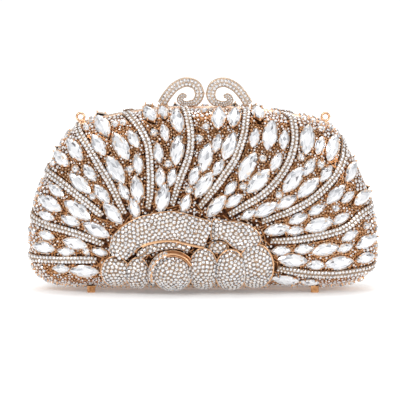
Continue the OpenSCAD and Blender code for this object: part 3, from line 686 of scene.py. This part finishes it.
class Cushion:
    """A domed petal round a middle, inside a rim in the drawing."""

    def __init__(self, rim, middle, crown, flutes=0):
        self.middle, self.crown, self.flutes = np.array(middle, float), crown, flutes
        d = rim - self.middle
        angles = np.arctan2(d[:, 1], d[:, 0])
        order = np.argsort(angles)
        self.angles, self.radii = angles[order], np.linalg.norm(d, axis=1)[order]

    def rim_at(self, angle):
        way = np.stack([np.cos(angle), np.sin(angle)], -1)
        return way * np.interp(angle, self.angles, self.radii, period=2 * np.pi)[..., None]

    def share(self, p):
        """Share of the way from the middle to the rim."""
        d = p - self.middle
        rim = self.rim_at(np.arctan2(d[..., 1], d[..., 0]))
        return np.linalg.norm(d, axis=-1) / np.linalg.norm(rim, axis=-1)

    def outside(self, p):
        """Distance to the rim, negative inside it."""
        d = np.linalg.norm(p - self.middle, axis=-1)
        return d - d / np.maximum(self.share(p), 1e-6)

    def height(self, p):
        """Height of the petal's face, or -1 outside it."""
        share = self.share(p)
        h = rise(share, petal_power)
        if self.flutes:
            d = p - self.middle
            h = h + flute_depth * share * np.cos(self.flutes * np.arctan2(d[..., 1], d[..., 0]))
        return np.where(share < 1, self.crown * h, -1)

    def valley(self, p):
        """Distance to the nearest wire between two flutes."""
        d = p - self.middle
        turn = self.flutes * np.arctan2(d[..., 1], d[..., 0]) / (2 * np.pi)
        away = np.linalg.norm(d, axis=-1) * np.abs(turn % 1 - 0.5) * 2 * np.pi / self.flutes
        return np.where(self.share(p) < fan_eye, plenty, away)

    def scattered(self, n):
        """Points of the drawing by chance, spread evenly enough over the dome."""
        up = chance.uniform(0.04, 1, n)
        way = self.rim_at(chance.uniform(-np.pi, np.pi, n))
        return self.middle + way * ((1 - up ** 2) ** (1 / petal_power))[:, None]

    def skin(self, heap):
        """Adds the petal's body, and gives its rim."""
        angle = np.linspace(-np.pi, np.pi, 96, endpoint=False)
        base_shares = (0.02, 0.35, 0.7, 1.0)
        rows = [over_shell(self.middle + self.rim_at(angle) * share, 0) for share in base_shares]
        for turn in np.linspace(0.02, 0.999, 14) * np.pi / 2:
            p = self.middle + self.rim_at(angle) * math.cos(turn) ** (2 / petal_power)
            rows.append(grown(p, np.maximum(self.height(p), 0)))
        heap.grid(np.array(rows), bed_skin)
        way = self.rim_at(np.append(angle, angle[0]))
        return self.middle + way + wire_out * unit(way)


class Swathe:
    """A domed petal that follows a way, with a rounded start and, unless it is blunt, a rounded end."""

    flutes = 0

    def __init__(self, knots, widths, crown, blunt=False, paved_to=1.0, metal=bed_skin):
        self.knots, self.crown, self.blunt, self.paved_to, self.metal = knots, crown, blunt, paved_to, metal
        self.s = np.linspace(0, 1, 160)
        to_end = np.minimum(self.s / swathe_end, (1 - self.s) / (blunt_end if blunt else swathe_end))
        rounding = np.sqrt(np.clip(1 - (1 - to_end).clip(0) ** 2, 0.02, 1))
        self.wide = np.interp(self.s, *zip(*widths)) / 2 * rounding
        self.line = along(knots, self.s)

    def gaps(self, p):
        return np.linalg.norm(p[:, None] - self.line, axis=-1)

    def beyond(self, p):
        """How far p lies past a blunt end."""
        if not self.blunt:
            return np.full(len(p), -plenty)
        return (p - self.line[-1]) @ unit(self.line[-1] - self.line[-5])

    def outside(self, p):
        return np.maximum((self.gaps(p) - self.wide).min(1), self.beyond(p))

    def height(self, p):
        share = np.where(self.beyond(p) > 0, 1, (self.gaps(p) / self.wide).min(1))
        return np.where(share < 1, self.crown * rise(share, petal_power), -1)

    def scattered(self, n):
        s = chance.uniform(0, self.paved_to, n)
        bend = np.cos(chance.uniform(0.03, 0.97, n) * np.pi)
        across = np.sign(bend) * np.abs(bend) ** (2 / petal_power) * np.interp(s, self.s, self.wide)
        return along(self.knots, s) + left_along(self.knots, s) * across[:, None]

    def skin(self, heap):
        """Adds the petal's body, and gives its rim."""
        s = np.linspace(0, 1, 60)
        wide = np.interp(s, self.s, self.wide)
        c, left = along(self.knots, s), left_along(self.knots, s) * wide[:, None]
        rows = [over_shell(c + left, 0)]
        for a in np.linspace(0, np.pi, 19):
            p = c + left * np.sign(math.cos(a)) * abs(math.cos(a)) ** (2 / petal_power)
            rows.append(grown(p, self.crown * math.sin(a) ** (2 / petal_power)))
        rows.append(over_shell(c - left, 0))
        heap.grid(np.stack(rows, 1), self.metal)
        left = left + wire_out * unit(left)
        return np.vstack([c + left, (c - left)[::-1], c[:1] + left[:1]])


def tube(heap, path, out, r, skin, sides=6):
    """A round wire along a path of points."""
    side = unit(np.cross(unit(np.gradient(path, axis=0)), out))[:, None]
    a = (np.arange(sides) * 2 * np.pi / sides)[None, :, None]
    heap.grid(path[:, None] + r * (np.sin(a) * out[:, None] - np.cos(a) * side), skin)


def packed(places, room, radii):
    """Round pieces put on scattered places, largest first, each where it still has room."""
    tree = kdtree.KDTree(len(places))
    for i, place in enumerate(places):
        tree.insert(place, i)
    tree.balance()
    room, taken, sizes = room.copy(), [], []
    for r in radii:
        for i in np.flatnonzero(room >= r):
            if room[i] >= r:
                found = tree.find_range(places[i], r + radii[0])
                at = [f[1] for f in found]
                room[at] = np.minimum(room[at], np.array([f[2] for f in found]) - r)
                taken.append(i)
                sizes.append(r)
    return np.array(taken, int), np.array(sizes)


pave_radii = (1.1, 0.86, 0.6)
pave_grain_r = 0.3
pave_sink = 0.15
hidden_below = 0.5
valley_room = 0.4
slope_step = 0.12
any_way = (0.3, 0.2, 1.0)


def stone_sizes(r):
    return np.column_stack([r, r, 0.25 + 0.6 * r])


def paved(heap, petal, others, count):
    """Stones all over a petal, in rows that spread from one end, but for the part that other petals hide."""
    p = petal.scattered(count)
    start = on_shell(p[p[:, 0].argmin()])
    p = p[np.argsort(np.linalg.norm(grown(p, petal.height(p)) - start, axis=1))]
    h = petal.height(p)
    for other in others:
        shown = other.height(p) < h + hidden_below
        p, h = p[shown], h[shown]
    places = grown(p, h)

    def slope(step):
        ahead, behind = p + step, p - step
        return grown(ahead, petal.height(ahead).clip(0)) - grown(behind, petal.height(behind).clip(0))

    out = unit(np.cross(slope(np.array([slope_step, 0])), slope(np.array([0, slope_step]))))
    side = unit(np.cross(out, any_way))
    turn = chance.uniform(0, np.pi, len(p))[:, None]
    side = side * np.cos(turn) + np.cross(out, side) * np.sin(turn)
    axes = np.stack([np.cross(side, out), side, out], 1)
    room = petal.valley(p) - valley_room if petal.flutes else np.full(len(p), plenty)
    taken, sizes = packed(places, room, (*pave_radii, pave_grain_r))
    set_stones = sizes > pave_grain_r
    for pattern, skin, at in ((small_stone, None, set_stones), (bead, claw_skin, ~set_stones)):
        i, r = taken[at], sizes[at]
        heap.copies(pattern, places[i] - out[i] * pave_sink, axes[i], stone_sizes(r), skin,
                    soft=pattern is bead)


def oval_petal(middle, half_width, half_height, crown):
    a = np.linspace(0, 2 * np.pi, 72, endpoint=False)
    rim = np.column_stack([half_width * np.cos(a), half_height * np.sin(a)]) + middle
    return Cushion(rim, middle, crown)


arch_way = [(-47, 22.5), (-44.5, 30), (-36.5, 36.5), (-26, 39.6), (-16, 40.3), (-7, 38.1), (3, 35.6)]
inner_arch_way = [(-36, 23.3), (-30, 27.3), (-22, 29.4), (-14, 29.6), (-7.5, 27.6)]
heart_middle = np.array([-17.1, 13])
collar_r = 12.0
collar_turn = np.radians(np.arange(205, 20, -20))
collar_way = heart_middle + collar_r * np.column_stack([np.cos(collar_turn), np.sin(collar_turn)])
arch_widths = [(0, 9.5), (0.17, 14), (0.5, 15), (0.67, 15.5), (1, 14.4)]
collar_widths = [(0, 2.6), (0.45, 2.8), (0.62, 2.0), (1, 1.7)]
upper_knots = np.array([(5.8, 43.6), (9.6, 43.5), (14.7, 42.5), (21.3, 41.9), (27.5, 39.4), (31.7, 34.8),
                        (30.9, 30.4), (25.5, 27.2), (20.5, 27), (16.2, 29.5), (12.9, 32.3), (8.5, 33.6),
                        (5, 34)])
# Each petal, with the number of places that are tried for its stones
rose = {
    "petal_arch": (Swathe(arch_way, arch_widths, 4.9, blunt=True), 40000),
    "petal_inner_arch": (Swathe(inner_arch_way, [(0, 3.4), (0.5, 4.2), (1, 3.4)], 3.5), 7000),
    "petal_left_outer": (oval_petal((-49.4, 13.8), 7.6, 8.6, 4.4), 11000),
    "petal_left_inner": (oval_petal((-36.8, 12.6), 6.2, 9.4, 5.4), 12000),
    "rose_heart": (oval_petal(heart_middle, 10.4, 10.2, 9.8), 22000),
    "rose_collar": (Swathe(collar_way, collar_widths, 6.6, paved_to=0.55, metal=claw_skin), 5000),
    "petal_middle": (oval_petal((0.2, 15.1), 7.8, 12.5, 6.9), 17000),
    "petal_right_inner": (oval_petal((15.7, 14.4), 8.4, 12.4, 7.4), 18000),
    "petal_right_link": (oval_petal((8.8, 28.2), 5, 3, 3.5), 4000),
    "petal_right_upper": (Cushion(closed_curve(upper_knots, 8), (20, 35.4), 4.9), 16000),
    "petal_right_outer": (oval_petal((29.6, 16.8), 9.6, 13, 5.4), 18000)}
wire_radii = {"petal_right_inner": 0.6, "petal_right_outer": 0.6, "rose_heart": 0.5}
hem_r, hem_out, hem_share = 0.9, 0.6, 0.62
for name, (petal, count) in rose.items():
    heap = Heap()
    rim = petal.skin(heap)
    tube(heap, grown(rim, wire_share * petal.crown), shell_normal(rim), wire_radii.get(name, wire_r),
         claw_skin)
    if name == "petal_arch":
        s = np.linspace(0.3, 0.99, 60)
        out = hem_out + np.interp(s, petal.s, petal.wide)
        hem = along(arch_way, s) - left_along(arch_way, s) * out[:, None]
        tube(heap, grown(hem, hem_share * petal.crown), shell_normal(hem), hem_r, claw_skin, sides=8)
    paved(heap, petal, [p for n, (p, _) in rose.items() if n != name], count)
    put_down(name + "_paved", heap, jewel_finishes, "front", [name])

# The back has a fluted, cast fan in place of the rose, paved in the same way, with gold wires soldered in the
# valleys between its flutes.
fan_knots = np.array([(-48, 8), (-34, 5), (-12, 4.6), (10, 4.6), (30, 5.5), (38, 12), (37, 27), (32, 38.5),
                      (20, 42), (6, 41), (-4, 45.5), (-20, 47), (-36, 41), (-46, 36), (-53, 24)], float)
fan_rim_r = 0.5
fan_wire_lift = 0.3
fan_wire_shares = np.linspace(0.16, 0.985, 30)
fan_places = 100000
fan = Cushion(closed_curve(fan_knots, 12), (-7, 18), 3.5, flutes=15)
heap = Heap()
rim = fan.skin(heap)
tube(heap, grown(rim, wire_share * fan.crown), shell_normal(rim), fan_rim_r, claw_skin)
for turn in (np.arange(fan.flutes) + 0.5) * 2 * np.pi / fan.flutes:
    wire = fan.middle + fan.rim_at(turn) * fan_wire_shares[:, None]
    tube(heap, grown(wire, fan.height(wire) + fan_wire_lift), shell_normal(wire), wire_r, claw_skin)
paved(heap, fan, [], fan_places)
put_down("back_medallion_paved", heap, jewel_finishes, "back", ["back_medallion"])

# The lattice between the crystals: cast bars that tie the settings to one another, with grains of gold and
# the smallest round stones wherever there is room, closer together further out on the fan. The round crystals
# are set just before it. Places for all this are tried in random order, each with its room to what is there.
place_step, place_jitter = 0.42, 0.2
lowest_wall = 0.06
side_from = wrap_from - 0.02
crystal_clearance, rib_clearance = 0.2, 0.1
lattice_radii = (1.1, 0.8, 0.62, 0.46)
side_stone_r, node_r = 0.6, 0.65
grain_slack = 0.14
grain_metals = ((claw_skin, 0, 0.27), (lattice_skin, 0.27, 0.37), (pale_skin, 0.37, 1))
stony_shares = ((10, 12, 84, 94), (0.75, 0.3, 0.3, 0.45))
fan_root = np.array([-8, 20])
grain_shares = ((34, 54, 78), (0.25, 0.65, 0.95))
bar_section = ((0.3, 0), (0.2, 0.55), (-0.2, 0.55), (-0.3, 0))
longest_bar = 8
face_places = places_between((-106, -4), (106, 112), place_step)
face_places = face_places + chance.uniform(-place_jitter, place_jitter, face_places.shape)
face_places = chance.permutation(face_places[wall_height(face_places - face_middle) > lowest_wall])
face_points = on_shell(face_places)
face_room = np.full(len(face_places), plenty)
for seats in face_seats.values():
    for origin, axis, length, width in zip(*seats):
        u, v, _ = ((face_points - origin) @ axis.T).T
        arc_r = (length ** 2 + width ** 2) / (4 * width)
        shift = arc_r - width / 2
        outside = np.maximum(np.hypot(u, v + shift), np.hypot(u, v - shift)) - arc_r
        face_room = np.minimum(face_room, outside - crystal_clearance)
for knots in rib_ways:
    line = along(knots, np.linspace(0, 1, 60))
    gaps = np.linalg.norm(face_places[:, None] - line, axis=-1).min(1)
    face_room = np.minimum(face_room, gaps - rib_width / 2 - rib_clearance)
from_middle = face_places - face_middle
on_side = np.linalg.norm(from_middle, axis=1) > side_from * outline_radius(from_middle)
crystal_places = [drawing[np.argmin(((drawing_on_shell - foot) ** 2).sum(1))]
                  for seats in face_seats.values() for foot in seats[0]]
for half in ("front", "back"):
    room = face_room
    for cover in [p for p, _ in rose.values()] if half == "front" else [fan]:
        room = np.minimum(room, cover.outside(face_places))
    heap = Heap()
    set_crystals(heap, round_stone, *face_seats["round_crystals"], round_claws)
    put_down(half + "_rounds_set", heap, jewel_finishes, half, [half + "_round_crystals"])

    largest = np.where(on_side, lattice_radii[0], lattice_radii[1])
    taken, sizes = packed(face_points, np.minimum(room, largest), lattice_radii)
    feet, axes = seated(face_places[taken], np.tile([1.0, 0.0], (len(taken), 1)), 0)
    heap = Heap()
    stony = np.interp(face_places[taken, 1], *stony_shares)
    stones = np.where(on_side[taken], sizes > side_stone_r, chance.uniform(0, 1, len(taken)) < stony)
    heap.copies(small_stone, feet[stones], axes[stones], stone_sizes(sizes[stones]))
    luck = chance.uniform(0, 1, len(taken))
    from_root = np.linalg.norm(face_places[taken] - fan_root, axis=1)
    grained = chance.uniform(0, 1, len(taken)) < np.interp(from_root, *grain_shares)
    for skin, low, high in grain_metals:
        some = grained & ~stones & (luck >= low) & (luck < high)
        r = sizes[some] - grain_slack
        heap.copies(bead, feet[some], axes[some], np.column_stack([r, r, 0.25 + 0.7 * r]), skin, soft=True)
    net_places = np.vstack([face_places[taken[sizes > node_r]], crystal_places])
    net = geometry.delaunay_2d_cdt([Vector(p) for p in net_places], [], [], 0, 1e-6)
    a, b = (np.array([net[0][pair[end]] for pair in net[1]]) for end in (0, 1))
    from_root = np.linalg.norm((a + b) / 2 - fan_root, axis=1)
    barred = chance.uniform(0, 1, len(a)) < np.interp(from_root, *grain_shares)
    barred &= np.linalg.norm(a - b, axis=1) < longest_bar
    a, b = a[barred], b[barred]
    left = unit(b - a)[:, ::-1] * [-1, 1]
    rows = [over_shell(a + (b - a) * t + left * x, h) for t in (0, 0.5, 1) for x, h in bar_section]
    bars = np.stack(rows, 1)
    bar_faces = np.array([(k, k + 1, k + 5, k + 4) for k in (0, 1, 2, 4, 5, 6)])
    corners = bar_faces.reshape(1, -1) + bars.shape[1] * np.arange(len(a))[:, None]
    heap.add(bars, corners.reshape(-1), np.full(len(bar_faces) * len(a), 4), lattice_skin)
    put_down(half + "_lattice", heap, jewel_finishes, half)

# The scrolls of the clasp: cast and plated, one screwed on each half, with two rows of stones on both faces
# between plain gold edges. The left one is the right one turned over, on the back half.
scroll_way = [(24.2, 106.2), (22.8, 108.8), (20.4, 112.2), (16.4, 116.3), (10.5, 118.7), (4.9, 116.8),
              (3, 111.6), (4.9, 107.6), (8.4, 106.5), (12, 106.5), (14.2, 108.4), (12.7, 110.7),
              (10.3, 110.5)]
scroll_widths = ([0, 0.5, 0.6, 0.68, 0.76, 0.85, 0.93, 1], [1, 1, 0.8, 0.6, 0.6, 0.66, 0.62, 0.3])
scroll_width = 5.4
scroll_depth = 3.0
scroll_offset = 0.6
scroll_meet = 1.2
scroll_foot = scroll_meet + parting_gap / 2
scroll_section = [(-1, 0.55), (-0.86, 0.92), (-0.78, 0.8), (0, 0.86), (0.78, 0.8), (0.86, 0.92), (1, 0.55)]
scroll_section += [(x, -y) for x, y in scroll_section[::-1]]
scroll_row, scroll_seat = 0.41, 0.4 * scroll_depth
scroll_stone = np.array([1.03, 1.03, 0])
scroll_stone_rise = np.array([0, 0, 0.8])
scroll_pitch = 2.1
scroll_start, scroll_stagger, scroll_end = 1.1, 0.4, 0.5
for half in ("front", "back"):
    heap = Heap()
    s = np.linspace(0, 1, 140)
    c, left = along(scroll_way, s), left_along(scroll_way, s)
    wide = np.interp(s, *scroll_widths) * scroll_width / 2
    lines = [np.insert(c + left * (wide * x)[:, None], 1, -scroll_offset + scroll_depth / 2 * y, 1)
             for x, y in scroll_section]
    heap.grid(np.stack(lines, 1) + [scroll_foot, 0, 0], pale_skin)
    for row in (-1, 1):
        line = c + left * (row * scroll_row * wide)[:, None]
        run = run_along(line)
        at = scroll_start + scroll_stagger * row
        while at < run[-1] - scroll_end:
            p = [np.interp(at, run, line[:, k]) for k in (0, 1)]
            size = np.interp(np.interp(at, run, s), *scroll_widths) * chance.uniform(0.94, 1.05)
            at += scroll_pitch * size
            for face in (-1, 1):
                foot = np.array([[p[0] + scroll_foot, -scroll_offset + face * scroll_seat, p[1]]])
                axes = np.array([[[face, 0, 0], [0, 0, -1], [0, face, 0]]], float)
                heap.copies(small_stone, foot, axes, scroll_stone * size + scroll_stone_rise)
    side, about = ("right", None) if half == "front" else ("left", scroll_meet)
    put_down(f"scroll_{side}_paved", heap, jewel_finishes, half, ["scroll_" + side], about)

# The linings: moulded trays covered with soft leather and glued inside the shells, with a row of stitches
# just inside the mouth.
leather = Finish("lining_leather", (0.72, 0.55, 0.40), 0.0, 0.55)
leather.wear(leather.noise(9, 4, 0.6), (0.3, (0.60, 0.43, 0.30)), (0.7, (0.74, 0.58, 0.44)),
             leather.noise(0.7, 3, 0.55), 0.12)
thread = Finish("lining_thread", (0.86, 0.76, 0.62), 0.0, 0.7)
lining_out = shell_wall + 0.3
lining_wall = 0.9
stitch_pitch = 2.8
stitch_depth = 4
stitch_size = (0.95, 0.28, 0.32)
for half in ("front", "back"):
    heap = Heap()
    heap.grid(bowl_rows(-lining_out, lining_wall, case_depth - lining_out, 20))
    loop = moved_out(outline, -lining_out - lining_wall)
    loop = np.vstack([loop, loop[:1]])
    run = run_along(loop)
    at = np.arange(0, run[-1] - stitch_pitch, stitch_pitch)
    p = np.column_stack([np.interp(at, run, loop[:, k]) for k in (0, 1)])
    way = unit(np.column_stack([np.interp(at + 0.5, run, loop[:, k]) for k in (0, 1)]) - p)
    long = np.insert(way, 1, 0, 1)
    inward = np.insert(way[:, ::-1] * [1, -1], 1, 0, 1)
    axes = np.stack([long, np.cross(inward, long), inward], 1)
    heap.copies(bead, np.insert(p, 1, -frame_depth - stitch_depth, 1), axes, stitch_size, 1, soft=True)
    put_down(half + "_lining_tray", heap, [leather, thread], half, [half + "_lining"])

# The feet: square brass pegs with eased edges, two soldered under each shell, plated and a little worn. The
# bag rests on their flat ends.
foot_gold = Finish("rose_gold_feet", (0.52, 0.26, 0.11), 1.0, 0.3)
scuffs = foot_gold.noise(3.0, 3.0, 0.6)
foot_gold.wear(scuffs, (0.35, (0.30, 0.13, 0.05)), (0.65, (0.66, 0.36, 0.17)),
               foot_gold.noise(0.6, 2.0), 0.03, Roughness=scuffs * 0.25 + 0.18)
foot_roundness = 0.22
foot_eased = ((0, 0.5), (0.12, 0.2), (0.4, 0))
a = np.linspace(0, 2 * np.pi, 32, endpoint=False)
circle = np.column_stack([np.cos(a), np.sin(a)])
square = np.sign(circle) * np.abs(circle) ** foot_roundness
for half in ("front", "back"):
    heap = Heap()
    low, high = (np.array(corner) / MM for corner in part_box(half + "_feet"))
    foot_half = (high[1] - low[1]) / 2
    for side in (-1, 1):
        middle = np.array([side * (high[0] - foot_half), -abs((low[1] + high[1]) / 2 - parting)])
        heap.grid(np.array([np.insert(square * (foot_half - inset) + middle, 2, z, 1)
                            for z, inset in (*foot_eased, (high[2], 0))]))
    put_down(half + "_pegs", heap, [foot_gold], half, [half + "_feet"])

# The strap lugs: round eyes of thick brass wire on short necks, soldered to the back rim at both shoulders
# and plated with it.
eye_wire_r = 0.75
eye_half_depth = 1.0
neck_from, neck_to = 2.1, 3.6
neck_half_width, neck_half_depth = 1.9, 0.95
for mount in frame["record"]["mounts"]:
    if mount["name"].startswith("strap_lug"):
        heap = Heap()
        centre = (np.array(mount["pos_m"]) / MM - [0, parting, 0]) * [1, -1, 1]
        r = mount["dims"]["r_mm"] + eye_wire_r
        a = np.linspace(0, 2 * np.pi, 41)[:, None, None]
        b = np.linspace(0, 2 * np.pi, 12, endpoint=False)[None, :, None]
        spoke = np.concatenate([np.cos(a), 0 * a, np.sin(a)], -1)
        depths = np.sin(b) * np.array([0, eye_half_depth, 0])
        heap.grid(centre + spoke * (r + eye_wire_r * np.cos(b)) + depths, caps=False)
        nearest = outline[np.argmin(((outline - centre[[0, 2]]) ** 2).sum(1))]
        inward = unit(np.insert(nearest, 1, centre[1]) - centre)
        across = np.cross([0, 1, 0], inward)
        neck = across * np.cos(b[0]) * neck_half_width + np.sin(b[0]) * np.array([0, neck_half_depth, 0])
        heap.grid(np.array([centre + inward * d + neck for d in (neck_from, neck_to)]))
        put_down(mount["name"] + "_eye", heap, [polished_gold], "back", [mount["name"]])
